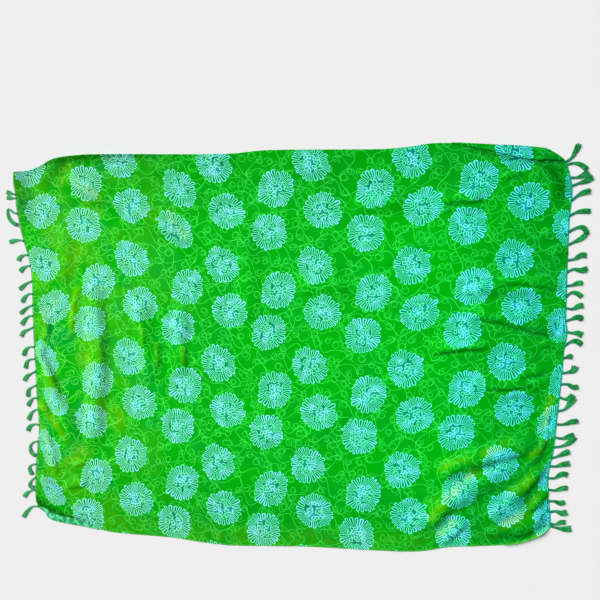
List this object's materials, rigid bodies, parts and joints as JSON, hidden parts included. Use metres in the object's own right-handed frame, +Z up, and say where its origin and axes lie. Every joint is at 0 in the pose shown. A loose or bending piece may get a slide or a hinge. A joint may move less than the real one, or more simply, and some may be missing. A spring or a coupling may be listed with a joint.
{
  "type": "sarong",
  "caption": "Fringed printed sarong laid out flat: one rectangular length of thin cloth with soft wrinkles, turned-over edges and twisted tassels on both short sides.",
  "frame": {"origin": "middle of the whole, tassels included, on the underside that rests on the surface", "axes": "+X along the cloth's length, from one fringed side to the other, +Y across its width towards the edge with the wide turned-over end, +Z up from the surface"},
  "size_m": [1.7332, 1.208, 0.0159],
  "materials": {
    "printed_cloth": "thin plain weave rayon, green with pale aqua flower rounds, low soft sheen",
    "tassel_yarn": "soft twisted yarn with brushed ends, matt dark green"
  },
  "bodies": {
    "root": {"panel": "printed_cloth", "turned_edge_bottom": "printed_cloth", "turned_edge_top": "printed_cloth", "fringe_left": "tassel_yarn", "fringe_right": "tassel_yarn"}
  },
  "joints": []
}
